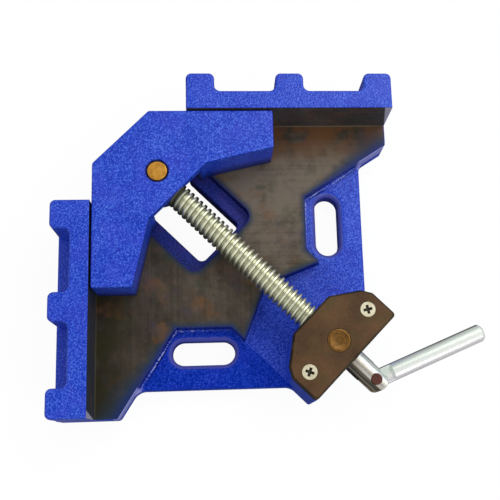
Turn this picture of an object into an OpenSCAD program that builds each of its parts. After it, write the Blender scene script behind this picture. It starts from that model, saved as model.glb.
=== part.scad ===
// Welder's corner clamp with a sliding jaw, a lead screw in a swivelling nut and a folding handle.
// The origin is the inside corner of the two fence faces, on the bench plane, with +Z up.
// X runs along one fence and Y along the other. The screw lies on the diagonal between them.
// Lengths are in millimetres. "Along" is the distance from the corner on the diagonal, "across" is square to it.

/* [Fences] */
// Distance from the inside corner to the near end of each fence
fence_start = 50; // [47:0.5:54]
// Length of each fence
fence_len = 112; // [104:1:124]
// Height of the fences above the bed
fence_h = 26.5; // [20:0.5:34]
// Thickness of the fence wall
fence_wall = 10; // [7:0.5:12]
// How far the ribs stand out behind the wall
rib_depth = 10.2; // [7:0.1:14]
// Width of a rib
rib_w = 15.3; // [12:0.1:20]
// Number of ribs on each fence
rib_count = 3; // [2:1:4]
// Radius of the ribs' outer corners
rib_corner_r = 3; // [1:0.5:5]
// Radius of the fillet where a rib meets the wall
rib_root_r = 3.5; // [1:0.5:6]

/* [Bed] */
// Height of the machined bed above the bench
bed_z = 17; // [14:0.5:22]
// Width of the bed at the far end of an arm
arm_end_w = 12; // [9:0.5:16]
// Angle of the arm's sloping edge from the fence
arm_edge_angle = 32.3; // [26:0.1:36]
// Half the width of the bed's neck in front of the nut housing
neck_half_w = 30; // [27:0.5:33]
// Distance along the diagonal to the notch in the bed's rear edge
neck_notch = 129.3; // [120:0.5:136]
// Angle of the notch's sides from the line square to the screw
neck_notch_angle = 23; // [15:1:30]

/* [Central opening] */
// Width of the opening under the screw
gap_w = 30; // [24:0.5:34]
// Distance along the diagonal to the end of the opening
gap_end = 95; // [88:0.5:105]
// Radius of the opening's corners
gap_corner_r = 3.5; // [2:0.5:6]
// Width of the sunk ledge at each side of the opening
ledge_w = 8.3; // [5:0.1:11]
// Width of the sunk ledge at the end of the opening
ledge_end_w = 2.8; // [1.5:0.1:6]
// Depth of the ledge below the bed
ledge_drop = 6; // [3:0.5:8]

/* [Bench pads] */
// Height of the bench pads
pad_z = 10.5; // [8:0.5:12.5]
// Distance of a bench slot from the fence that it runs square to
slot_reach = 127.4; // [122:0.2:134]
// Distance of the slot's middle from the fence that it runs away from
slot_mid = 57; // [52:0.5:62]
// Width of a bench slot
slot_w = 13; // [9:0.5:15]
// Length of a bench slot
slot_len = 34; // [26:0.5:40]
// Chamfer around the top of a bench slot
slot_chamfer = 2.2; // [0.5:0.1:2.5]
// Pad left between a slot and the bed
pad_inner_rim = 6.4; // [4:0.2:9]
// Pad left between a slot and the outer edge
pad_outer_rim = 13.1; // [9:0.1:15]
// Radius of the fillets where a pad's outer edge meets the arm and the nut housing
pad_root_r = 8; // [3:0.5:10]

/* [Nut housing] */
// Distance along the diagonal to the nut's swivel axis
nut_along = 179; // [174:0.5:186]
// Height of the cover's top above the bed
cover_h = 26; // [24:0.5:32]
// Thickness of the cover plate
cover_t = 5; // [3:0.5:7]
// Bevel along the cover's upper edge
cover_bevel = 1; // [0.4:0.1:2]
// Radius of the cover's corners
cover_corner_r = 2; // [0.5:0.5:4]
// Half the width of the cover and the housing
cover_half_w = 30.5; // [28:0.5:34]
// Distance from the swivel axis back to the cover's rear edge
cover_back = 12.5; // [11:0.5:16]
// Distance from the swivel axis forward to the cover's front edge
cover_front = 19.4; // [17:0.2:22]
// Half the width of the cover's front edge
cover_nose_half_w = 13.4; // [11:0.2:16]
// Distance from the swivel axis forward to where the cover starts to narrow
cover_shoulder = 4; // [2:0.5:6]
// Length of the eased stretch at the start of the narrowing
cover_ease = 5.5; // [4:0.5:7]
// How far the cover narrows over the eased stretch
cover_ease_in = 3.2; // [2:0.2:4]
// Distance between the two cover screws
cover_screw_span = 44.4; // [40:0.2:48]

/* [Swivel nut] */
// Diameter of the nut's body
nut_d = 26; // [22:0.5:29]
// Diameter of the nut's two journals
nut_journal_d = 12; // [9:0.5:14]
// Depth of the lower journal in the base
nut_journal_depth = 9; // [5:0.5:14]

/* [Cover screws] */
// Diameter of a cover screw's shank
cover_screw_d = 4; // [3:0.5:5]
// Diameter of a cover screw's head
cover_screw_head_d = 8; // [7:0.5:10]
// Length of a cover screw
cover_screw_len = 16; // [12:1:22]

/* [Jaw] */
// Gap between the closed jaw and the fences
jaw_gap = 0.8; // [0.6:0.1:3]
// Height of the jaw's top above the bed
jaw_h = 25.2; // [23:0.1:30]
// Distance from a fence face to the far end of the jaw's other arm
jaw_reach = 96.5; // [88:0.5:106]
// Width of an arm at its end
jaw_arm_w = 20.9; // [16:0.1:24]
// Distance from the corner to each end of the bevelled nose
jaw_nose = 30; // [26:0.5:34]
// Distance along the diagonal to the jaw's rear face
jaw_rear = 64; // [61:0.5:68]
// Half the width of the jaw's rear face
jaw_rear_half_w = 21.1; // [18:0.1:24]
// Thickness of the jaw's top
jaw_roof = 6.2; // [4:0.2:8]
// Thickness of the walls around the hollows under the arms of the jaw
jaw_wall = 6; // [4:0.5:7]
// Thickness of the jaw at each side of the mouth in its rear
jaw_cheek = 3.6; // [3:0.1:6]

/* [Jaw trunnion] */
// Distance along the diagonal to the trunnion's axis
trunnion_along = 49; // [46:0.5:51]
// Diameter of the trunnion's body
trunnion_d = 20; // [17:0.5:23]
// Diameter of the trunnion's end in the jaw's top
trunnion_end_d = 10.3; // [8:0.1:13]
// Distance from the trunnion's axis to each thrust flat
trunnion_flat = 8.5; // [7:0.1:8.5]
// Wall of the boss in the jaw around the trunnion
trunnion_boss = 3; // [2:0.5:4]

/* [Screw and handle] */
// Outer diameter of the thread
thread_d = 14; // [10:0.1:15]
// Height of the screw's axis above the bed
screw_h = 12.5; // [11:0.5:14]
// Diameter of the spigot in the trunnion
spigot_d = 8; // [6:0.2:9]
// Diameter of the washers
washer_d = 14; // [11:0.5:15]
// Thickness of the washers
washer_t = 1.2; // [0.8:0.1:2]
// Diameter of the retaining ring
ring_d = 11.5; // [10:0.5:14]
// Thickness of the retaining ring
ring_t = 1; // [0.8:0.1:1.5]
// Depth of the ring's groove in the spigot
groove_depth = 0.8; // [0.5:0.1:1.2]
// Length of the spigot in front of the ring
spigot_nose = 1.5; // [1:0.1:3]
// Diameter of the plain tail
tail_d = 12.7; // [10:0.1:13]
// Distance from the nut's axis back to the start of the tail
tail_start = 10; // [6:0.5:12]
// Distance from the nut's axis back to the rivet
rivet_reach = 27.7; // [25:0.1:34]
// Diameter of the rivet
rivet_d = 5.8; // [4:0.1:6.5]
// Diameter of the handle bar
handle_d = 9.5; // [7:0.1:10]
// Length of the handle from the rivet
handle_len = 64; // [50:1:90]
// Distance from the rivet to the shoulder of the bar
handle_shoulder = 10.2; // [9:0.1:12]
// Thickness of the handle's tongue
tongue_t = 4.4; // [3:0.1:5.5]
// Room behind the tongue that lets the handle fold past square
fold_room = 1.6; // [1.5:0.1:3]
// Chamfer at the handle's tip
handle_chamfer = 1.5; // [0.5:0.1:2.5]
// Angle of the folded handle from the screw
handle_angle = 67; // [0:1:100]

/* [Fits] */
// Radial clearance of running fits
running_gap = 0.05; // [0.02:0.01:0.1]
// Clearance between faces that slide past each other
slide_gap = 0.3; // [0.2:0.05:0.5]
// Clearance at the ends of turning pieces
end_gap = 0.1; // [0.05:0.05:0.3]
// Clearance that lets the screw swing with its nut
swing_gap = 2.1; // [1.5:0.1:3]
// Room around the retaining ring inside the jaw
clip_room = 3; // [2:0.5:4]

/* [Hidden] */
$fn = 64;
cut = 1; // how far a cutting shape runs past a face
pad_overlap = 4; // how far the pads run into the bed
fillet_dip = 0.03; // how far a corner fillet's circle runs past the walls that it joins
root2 = sqrt(2);

paint_blue = [0.16, 0.24, 0.78];
cover_brown = [0.33, 0.23, 0.15];
plated_steel = [0.78, 0.79, 0.74];
bronze = [0.72, 0.5, 0.16];
rivet_brown = [0.36, 0.2, 0.17];

fence_end = fence_start + fence_len;
fence_top = bed_z + fence_h;
rib_back = fence_wall + rib_depth;
rib_step = (fence_len - rib_w) / (rib_count - 1);

pad_inner = slot_reach - slot_w / 2 - pad_inner_rim;
pad_outer = slot_reach + slot_w / 2 + pad_outer_rim;
neck_shoulder = neck_notch + neck_half_w * tan(neck_notch_angle);

cover_top = bed_z + cover_h;
cover_bottom = cover_top - cover_t;
screw_z = bed_z + screw_h;
channel_r = thread_d / 2 + swing_gap;
nut_half_h = cover_bottom - end_gap - screw_z;
pocket_floor = screw_z - nut_half_h - end_gap;
cover_head_h = (cover_screw_head_d - cover_screw_d) / 2;

jaw_bottom = bed_z + slide_gap;
jaw_top = bed_z + jaw_h;
jaw_ceiling = jaw_top - jaw_roof;
window_r = thread_d / 2 + swing_gap;
thrust_face = trunnion_along + trunnion_flat;
thread_start = thrust_face + washer_t + 2 * end_gap;
front_face = trunnion_along - trunnion_flat;
washer_front = front_face - end_gap - washer_t;
ring_front = washer_front - end_gap - ring_t;
groove_d = spigot_d - 2 * groove_depth;
spigot_end = ring_front - spigot_nose;

rivet_along = nut_along + rivet_reach;
tail_end = rivet_along + tail_d / 2;
fork_gap = tongue_t + 2 * slide_gap;
fork_floor = rivet_along - handle_d / 2 - fold_room;

// A point on the plan from its distances along the Y fence and away from that fence's face
function from_fence(u, v) = [v, u];
// A point on the plan from its distances along and across the diagonal
function from_diagonal(along, across) = [(along - across) / root2, (along + across) / root2];
// The same points seen in the mirror of the diagonal, in reverse order
function mirrored(points) = [for (i = [len(points) - 1 : -1 : 0]) [points[i][1], points[i][0]]];
function arm_edge(u) = arm_end_w + (fence_end - u) * tan(arm_edge_angle);

bed_half = [
    from_fence(fence_start, -rib_back),
    from_fence(fence_end, -rib_back),
    from_fence(fence_end, arm_end_w),
    from_fence(pad_inner, arm_edge(pad_inner)),
    from_fence(pad_inner, pad_inner - neck_half_w * root2),
    from_diagonal(neck_shoulder, neck_half_w)
];
bed_outline = concat(
    bed_half, [from_diagonal(neck_notch, 0)], mirrored(bed_half), [[fence_start, fence_start]]
);

pad_half = [
    from_fence(pad_inner - pad_overlap, arm_edge(pad_inner) - pad_overlap),
    from_fence(pad_outer, arm_edge(pad_outer) - pad_overlap),
    from_fence(pad_outer, pad_outer - cover_half_w * root2),
    from_diagonal(nut_along + cover_back, cover_half_w)
];
pad_outline = concat(pad_half, mirrored(pad_half));
arm_root = from_fence(pad_outer, arm_edge(pad_outer));
housing_root = pad_half[2];

cover_half = [
    from_diagonal(nut_along - cover_front, cover_nose_half_w),
    from_diagonal(nut_along - cover_shoulder - cover_ease, cover_half_w - cover_ease_in),
    from_diagonal(nut_along - cover_shoulder, cover_half_w),
    from_diagonal(nut_along + cover_back, cover_half_w)
];
cover_outline = concat(cover_half, mirrored(cover_half));

jaw_half = [
    from_fence(jaw_nose, jaw_gap),
    from_fence(jaw_reach, jaw_gap),
    from_fence(jaw_reach, jaw_gap + jaw_arm_w),
    from_diagonal(jaw_rear, jaw_rear_half_w)
];
jaw_outline = concat(jaw_half, mirrored(jaw_half));

module on_diagonal(along, across = 0, z = 0) {
    rotate([0, 0, 45]) translate([along, across, z]) children();
}

module on_both_sides() {
    children();
    mirror([1, -1, 0]) children();
}

// A round bar on the screw's axis between two distances along the diagonal
module axial(from, to, d) {
    on_diagonal(from, 0, screw_z) rotate([0, 90, 0]) cylinder(h = to - from, d = d);
}

// A flat slot with round ends, lying along X
module round_slot(len, w) {
    square([len - w, w], center = true);
    for (side = [-1, 1]) translate([side * (len - w) / 2, 0]) circle(d = w);
}

// The flared rim of such a slot, wider by the same amount all round at its top
module slot_rim(len, w, flare) {
    rotate([90, 0, 90]) linear_extrude(len - w, center = true)
        polygon([[-w / 2, 0], [w / 2, 0], [w / 2 + flare, flare], [-w / 2 - flare, flare]]);
    for (side = [-1, 1]) translate([side * (len - w) / 2, 0, 0]) cylinder(h = flare, d1 = w, d2 = w + 2 * flare);
}

// The plan of an opening on the diagonal, open at the corner and with round corners at its end
module gap_plan(half_w, end, r) {
    translate([0, -half_w]) square([end - r, 2 * half_w]);
    translate([0, r - half_w]) square([end, 2 * (half_w - r)]);
    for (side = [-1, 1]) translate([end - r, side * (half_w - r)]) circle(r);
}

// The fillet of radius r in a hollow corner at p, whose sides run off at the angles a and b
module corner_fillet(p, a, b, r) {
    reach = r / tan((b - a) / 2);
    far_side = [cos(b - a), sin(b - a)];
    into_wall = cut * [-far_side[1], far_side[0]];
    translate(p) rotate(a) difference() {
        polygon([
            [reach, 0], [reach, -cut], [0, -cut], into_wall, reach * far_side + into_wall, reach * far_side
        ]);
        translate([reach, r]) circle(r + fillet_dip);
    }
}

// One rib's plan, its width along Y and its back at -X
module rib_plan() {
    translate([rib_corner_r - rib_back, 0]) square([rib_back - rib_corner_r, rib_w]);
    translate([-rib_back, rib_corner_r]) square([rib_back, rib_w - 2 * rib_corner_r]);
    for (y = [rib_corner_r, rib_w - rib_corner_r]) translate([rib_corner_r - rib_back, y]) circle(rib_corner_r);
}

// The fillet in the corner between the wall's back and the +Y side of a rib
module rib_root_plan() {
    translate([-fence_wall - rib_root_r, 0]) difference() {
        square([rib_root_r + cut, rib_root_r]);
        translate([0, rib_root_r]) circle(rib_root_r);
    }
}

module fence() {
    translate([-fence_wall, fence_start, 0]) cube([fence_wall, fence_len, fence_top]);
    for (i = [0 : rib_count - 1]) translate([0, fence_start + i * rib_step, 0]) {
        linear_extrude(fence_top) rib_plan();
        if (i < rib_count - 1) translate([0, rib_w, 0]) linear_extrude(fence_top) rib_root_plan();
        if (i > 0) mirror([0, 1, 0]) linear_extrude(fence_top) rib_root_plan();
    }
}

// The fillets at both ends of a pad's outer edge
module pad_roots() {
    corner_fillet(arm_root, 0, 90 + arm_edge_angle, pad_root_r);
    corner_fillet(housing_root, 45, 180, pad_root_r);
}

module bench_slot() {
    translate([slot_mid, slot_reach, -cut]) linear_extrude(pad_z + 2 * cut) round_slot(slot_len, slot_w);
    translate([slot_mid, slot_reach, pad_z - slot_chamfer])
        slot_rim(slot_len, slot_w, slot_chamfer + end_gap);
}

module base_casting() {
    color(paint_blue) difference() {
        union() {
            linear_extrude(bed_z) polygon(bed_outline);
            linear_extrude(pad_z) polygon(pad_outline);
            on_both_sides() linear_extrude(pad_z) pad_roots();
            linear_extrude(cover_bottom) polygon(cover_outline);
            on_both_sides() fence();
        }
        on_diagonal(0, 0, -cut) linear_extrude(bed_z + 2 * cut) gap_plan(gap_w / 2, gap_end, gap_corner_r);
        on_diagonal(0, 0, bed_z - ledge_drop) linear_extrude(ledge_drop + cut)
            gap_plan(gap_w / 2 + ledge_w, gap_end + ledge_end_w, gap_corner_r + ledge_end_w);
        on_both_sides() bench_slot();
        nut_room();
    }
}

// What is cut out of the housing for the nut, the screw and the cover screws
module nut_room() {
    on_diagonal(nut_along, 0, pocket_floor) cylinder(h = cover_bottom, d = nut_d + 2 * slide_gap);
    on_diagonal(nut_along, 0, pocket_floor - nut_journal_depth - end_gap)
        cylinder(h = nut_journal_depth + cut, d = nut_journal_d + 2 * running_gap);
    axial(nut_along - cover_front - cut, nut_along + cover_back + cut, 2 * channel_r);
    on_diagonal(nut_along - cover_front - cut, -channel_r, screw_z)
        cube([cover_front + cover_back + 2 * cut, 2 * channel_r, cover_bottom]);
    cover_screw_places(cover_top - cover_screw_len - cut)
        cylinder(h = cover_screw_len + cut, d = cover_screw_d + 2 * running_gap);
}

module cover_screw_places(z) {
    for (side = [-1, 1]) on_diagonal(nut_along, side * cover_screw_span / 2, z) children();
}

module nut_cover() {
    color(cover_brown) difference() {
        hull() {
            translate([0, 0, cover_bottom]) linear_extrude(cover_t - cover_bevel) cover_plan(0);
            translate([0, 0, cover_bottom]) linear_extrude(cover_t) cover_plan(cover_bevel);
        }
        on_diagonal(nut_along, 0, cover_bottom - cut)
            cylinder(h = cover_t + 2 * cut, d = nut_journal_d + 2 * running_gap);
        cover_screw_places(cover_bottom - cut)
            cylinder(h = cover_t + 2 * cut, d = cover_screw_d + 2 * running_gap);
        cover_screw_places(cover_top - cover_head_h)
            cylinder(h = cover_head_h + end_gap, d1 = cover_screw_d + 2 * end_gap,
                d2 = cover_screw_head_d + 4 * end_gap);
    }
}

module cover_plan(inset) {
    offset(r = cover_corner_r, $fn = 24) offset(delta = -cover_corner_r - inset) polygon(cover_outline);
}

module cover_screws() {
    color(plated_steel) cover_screw_places(cover_top) {
        translate([0, 0, -cover_head_h]) cylinder(h = cover_head_h, d1 = cover_screw_d, d2 = cover_screw_head_d);
        translate([0, 0, -cover_screw_len]) cylinder(h = cover_screw_len - cover_head_h, d = cover_screw_d);
    }
}

module swivel_nut() {
    color(bronze) difference() {
        union() {
            on_diagonal(nut_along, 0, screw_z - nut_half_h) cylinder(h = 2 * nut_half_h, d = nut_d);
            on_diagonal(nut_along, 0, pocket_floor - nut_journal_depth)
                cylinder(h = cover_top - pocket_floor + nut_journal_depth, d = nut_journal_d);
        }
        axial(nut_along - nut_d, nut_along + nut_d, thread_d + 2 * running_gap);
    }
}

module lead_screw() {
    color(plated_steel) difference() {
        union() {
            axial(spigot_end, thread_start, spigot_d);
            axial(thread_start, nut_along + tail_start, thread_d);
            axial(nut_along + tail_start, rivet_along, tail_d);
            intersection() {
                axial(rivet_along - cut, tail_end, tail_d);
                on_diagonal(rivet_along, 0, screw_z - tail_d) cylinder(h = 2 * tail_d, d = tail_d);
            }
        }
        ring_groove();
        on_diagonal(fork_floor, -tail_d, screw_z - fork_gap / 2) cube([tail_d * 2, 2 * tail_d, fork_gap]);
        on_diagonal(rivet_along, 0, screw_z - tail_d) cylinder(h = 2 * tail_d, d = rivet_d + 2 * running_gap);
    }
}

module ring_groove() {
    difference() {
        axial(ring_front - end_gap / 2, ring_front + ring_t + end_gap / 2, spigot_d + cut);
        axial(ring_front - cut, ring_front + ring_t + cut, groove_d);
    }
}

module jaw_trunnion() {
    body_bottom = jaw_bottom + slide_gap;
    color(bronze) difference() {
        union() {
            intersection() {
                on_diagonal(trunnion_along, 0, body_bottom)
                    cylinder(h = jaw_ceiling - end_gap - body_bottom, d = trunnion_d);
                on_diagonal(front_face, -trunnion_d, body_bottom - cut)
                    cube([2 * trunnion_flat, 2 * trunnion_d, jaw_top]);
            }
            on_diagonal(trunnion_along, 0, screw_z) cylinder(h = jaw_top - screw_z, d = trunnion_end_d);
        }
        axial(trunnion_along - trunnion_d, trunnion_along + trunnion_d, spigot_d + 2 * running_gap);
    }
}

module washer(front) {
    color(plated_steel) difference() {
        axial(front, front + washer_t, washer_d);
        axial(front - cut, front + washer_t + cut, spigot_d + 2 * running_gap);
    }
}

module thrust_washer() {
    washer(thrust_face + end_gap);
}

module end_washer() {
    washer(washer_front);
}

module retaining_ring() {
    color(plated_steel) difference() {
        axial(ring_front, ring_front + ring_t, ring_d);
        axial(ring_front - cut, ring_front + ring_t + cut, groove_d + 2 * running_gap);
        on_diagonal(ring_front - cut, -groove_d / 4, screw_z - ring_d) cube([ring_t + 2 * cut, groove_d / 2, ring_d]);
    }
}

// The hollow under one arm of the jaw, open to the bed
module jaw_hollow() {
    near = jaw_rear / root2 + jaw_rear_half_w / root2 + jaw_wall;
    far = jaw_reach - jaw_wall;
    inner = jaw_gap + jaw_wall;
    translate([0, 0, jaw_bottom - cut]) linear_extrude(jaw_ceiling - jaw_bottom + cut) polygon([
        from_fence(near, inner),
        from_fence(far, inner),
        from_fence(far, jaw_gap + jaw_arm_w - jaw_wall),
        from_fence(near, jaw_gap + jaw_arm_w - jaw_wall / 2)
    ]);
}

// The mouth in the jaw's rear that shows the screw, with a boss left around the trunnion
module jaw_mouth() {
    half_w = jaw_rear_half_w - jaw_cheek;
    depth = jaw_ceiling - jaw_bottom + cut;
    difference() {
        on_diagonal(trunnion_along, -half_w, jaw_bottom - cut) cube([jaw_rear - trunnion_along + cut, 2 * half_w, depth]);
        on_diagonal(trunnion_along, 0, jaw_bottom - 2 * cut)
            cylinder(h = depth + 2 * cut, d = trunnion_d + 2 * trunnion_boss);
    }
    axial(trunnion_along, jaw_rear + cut, 2 * window_r);
}

module moving_jaw() {
    color(paint_blue) difference() {
        translate([0, 0, jaw_bottom]) linear_extrude(jaw_top - jaw_bottom) polygon(jaw_outline);
        on_diagonal(trunnion_along, 0, jaw_bottom - cut)
            cylinder(h = jaw_ceiling - jaw_bottom + cut, d = trunnion_d + 2 * running_gap);
        on_diagonal(trunnion_along, 0, screw_z) cylinder(h = jaw_top, d = trunnion_end_d + 2 * slide_gap);
        jaw_mouth();
        on_diagonal(spigot_end - clip_room, -washer_d / 2 - clip_room / 2, jaw_bottom - cut)
            cube([trunnion_along - spigot_end + clip_room, washer_d + clip_room,
                screw_z + washer_d / 2 + clip_room / 2 - jaw_bottom]);
        on_both_sides() jaw_hollow();
    }
}

// Places its children at the rivet, with +X along the handle
module on_handle() {
    on_diagonal(rivet_along, 0, screw_z) rotate([0, 0, handle_angle]) children();
}

module handle_bar() {
    color(plated_steel) on_handle() difference() {
        union() {
            translate([handle_shoulder, 0, 0]) rotate([0, 90, 0])
                cylinder(h = handle_len - handle_shoulder - handle_chamfer, d = handle_d);
            translate([handle_len - handle_chamfer, 0, 0]) rotate([0, 90, 0])
                cylinder(h = handle_chamfer, d1 = handle_d, d2 = handle_d - 2 * handle_chamfer);
            translate([0, 0, -tongue_t / 2]) cylinder(h = tongue_t, d = handle_d);
            intersection() {
                translate([0, -handle_d / 2, -tongue_t / 2]) cube([handle_shoulder + cut, handle_d, tongue_t]);
                rotate([0, 90, 0]) cylinder(h = handle_len / 2, d = handle_d);
            }
        }
        translate([0, 0, -tongue_t]) cylinder(h = 2 * tongue_t, d = rivet_d + 2 * running_gap);
    }
}

module handle_rivet() {
    color(rivet_brown) on_diagonal(rivet_along, 0, screw_z - tail_d / 2) cylinder(h = tail_d, d = rivet_d);
}

base_casting();
nut_cover();
cover_screws();
swivel_nut();
lead_screw();
jaw_trunnion();
thrust_washer();
end_washer();
retaining_ring();
moving_jaw();
handle_bar();
handle_rivet();
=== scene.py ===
import math

import bpy
from mathutils import Matrix, Vector


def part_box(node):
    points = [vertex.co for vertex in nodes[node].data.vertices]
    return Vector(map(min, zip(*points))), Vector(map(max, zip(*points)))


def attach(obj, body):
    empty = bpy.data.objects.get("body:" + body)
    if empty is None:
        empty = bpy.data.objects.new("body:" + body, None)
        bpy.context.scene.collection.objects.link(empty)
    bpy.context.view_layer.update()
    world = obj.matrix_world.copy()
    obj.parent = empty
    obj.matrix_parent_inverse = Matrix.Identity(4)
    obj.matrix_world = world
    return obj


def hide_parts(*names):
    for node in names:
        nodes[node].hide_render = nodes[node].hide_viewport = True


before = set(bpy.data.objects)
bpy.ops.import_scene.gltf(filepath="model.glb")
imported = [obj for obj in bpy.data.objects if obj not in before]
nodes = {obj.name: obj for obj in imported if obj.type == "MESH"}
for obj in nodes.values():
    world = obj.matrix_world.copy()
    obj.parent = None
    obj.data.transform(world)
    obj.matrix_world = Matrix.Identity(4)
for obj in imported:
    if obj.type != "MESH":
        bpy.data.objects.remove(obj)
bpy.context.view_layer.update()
mm = 0.001
alongScrew = Vector((1, 1, 0)).normalized()  # from the fences' corner to the handle
acrossScrew = Vector((-1, 1, 0)).normalized()
screwTurn = 45  # degrees from X
print("frame loaded:", len(nodes), "nodes")


# places that the pieces share
def middle(node):
    low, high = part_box(node)
    return (low + high) / 2


bedHeight = 17 * mm
padHeight = 10.5 * mm
screwHeight = middle("handle_rivet").z
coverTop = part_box("nut_cover")[1].z
nutMiddle = middle("swivel_nut")
trunnionMiddle = middle("jaw_trunnion")
rivetMiddle = middle("handle_rivet")


# camera at the photograph's place, looking almost straight down
cameraLook = {
    "eye": (178.833, 68.193, 459.774),  # mm
    "target": (86.087, 104.749, 17.0),  # mm
    "roll": 2.051,  # degrees
    "lens": 59.572,
    "sensor": 36.0,
    "shift": (-0.08, 0.048),
    "clip": (0.01, 20),  # m
}


def setCamera(look):
    eye = Vector(look["eye"]) * mm
    forward = (Vector(look["target"]) * mm - eye).normalized()
    pictureUp = Vector((-1, 0, 0))  # the photograph's upper side
    up = (pictureUp - forward * pictureUp.dot(forward)).normalized()
    up = Matrix.Rotation(math.radians(look["roll"]), 3, forward) @ up
    right = forward.cross(up)
    turn = Matrix((right, up, -forward)).transposed()
    bpy.ops.object.camera_add()
    camera = bpy.context.object
    camera.name = "photoCamera"
    camera.matrix_world = Matrix.Translation(eye) @ turn.to_4x4()
    camera.data.lens = look["lens"]
    camera.data.sensor_width = look["sensor"]
    camera.data.shift_x, camera.data.shift_y = look["shift"]
    camera.data.clip_start, camera.data.clip_end = look["clip"]
    camera.data.dof.use_dof = False
    bpy.context.scene.camera = camera


setCamera(cameraLook)
print("camera set")


# a bright tent with a dark opening at its top, two soft panels, and a white floor that keeps a faint shadow
lightLook = {
    "tentColor": (1, 1, 1, 1),
    "tentStrength": 0.68,
    "openingStrength": 0.02,  # the tent's open top, which dark glossy faces reflect
    "openingWay": (-0.07, 0.0, 0.997),
    "openingEdge": (0.968, 0.986),  # cosine from that way, outer and inner edge
    "lowShare": 0.25,  # the tent's strength near the floor, against its upper part
    "lowBand": (0.05, 0.50),  # sine of the height over which it brightens
    "panels": (  # name, power in W, width in m, place in m
        ("softPanel", 3.2, 0.8, (-0.45, 0.55, 0.75)),
        ("sidePanel", 0.8, 0.35, (0.6, 0.45, 0.35)),
    ),
    "aim": (0.07, 0.07, 0.02),  # m, near the object's middle
    "floorSize": 6.0,
    "floorDrop": 0.0002,  # m below the bench face, so that the two don't lie in one plane
    "floorGrey": (0.45, 0.92),  # what it throws back on the object, and what the camera sees
    "floorGlow": 0.91,  # how much of the floor's white shows whatever the shadow
    "floorWhite": 1.03,
    "shadedRadius": (0.11, 0.22),  # m, reflections show a shaded floor within it and a pale one beyond
    "mirrorGlow": (0.04, 0.6),
}


def addNode(tree, kind, **settings):
    node = tree.nodes.new(kind)
    for key, value in settings.items():
        setattr(node, key, value)
    return node


def setRange(node, fromPair, toPair):
    node.inputs["From Min"].default_value, node.inputs["From Max"].default_value = fromPair
    node.inputs["To Min"].default_value, node.inputs["To Max"].default_value = toPair


def linkAll(tree, *links):
    for start, end in links:
        tree.links.new(start, end)


def setTent(look):
    world = bpy.data.worlds.new("whiteTent")
    bpy.context.scene.world = world
    world.use_nodes = True
    tree = world.node_tree
    background = tree.nodes["Background"]
    background.inputs["Color"].default_value = look["tentColor"]
    direction = addNode(tree, "ShaderNodeTexCoord")
    nearness = addNode(tree, "ShaderNodeVectorMath", operation="DOT_PRODUCT")
    nearness.inputs[1].default_value = Vector(look["openingWay"]).normalized()
    opening = addNode(tree, "ShaderNodeMapRange", interpolation_type="SMOOTHSTEP")
    setRange(opening, look["openingEdge"], (look["tentStrength"], look["openingStrength"]))
    height = addNode(tree, "ShaderNodeSeparateXYZ")
    rise = addNode(tree, "ShaderNodeMapRange", interpolation_type="SMOOTHSTEP")
    setRange(rise, look["lowBand"], (look["lowShare"], 1))
    light = addNode(tree, "ShaderNodeMath", operation="MULTIPLY")
    ray = addNode(tree, "ShaderNodeLightPath")
    shown = addNode(tree, "ShaderNodeMath", operation="MAXIMUM")  # the camera sees the tent as plain white
    linkAll(
        tree,
        (direction.outputs["Generated"], nearness.inputs[0]),
        (nearness.outputs["Value"], opening.inputs["Value"]),
        (direction.outputs["Generated"], height.inputs[0]),
        (height.outputs["Z"], rise.inputs["Value"]),
        (opening.outputs["Result"], light.inputs[0]),
        (rise.outputs["Result"], light.inputs[1]),
        (light.outputs[0], shown.inputs[0]),
        (ray.outputs["Is Camera Ray"], shown.inputs[1]),
        (shown.outputs[0], background.inputs["Strength"]),
    )


def addPanel(name, power, size, place, aim):
    bpy.ops.object.light_add(type="AREA", location=place)
    lamp = bpy.context.object
    lamp.name = name
    lamp.data.energy = power
    lamp.data.size = size
    lamp.rotation_euler = (Vector(aim) - Vector(place)).to_track_quat("-Z", "Y").to_euler()


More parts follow.
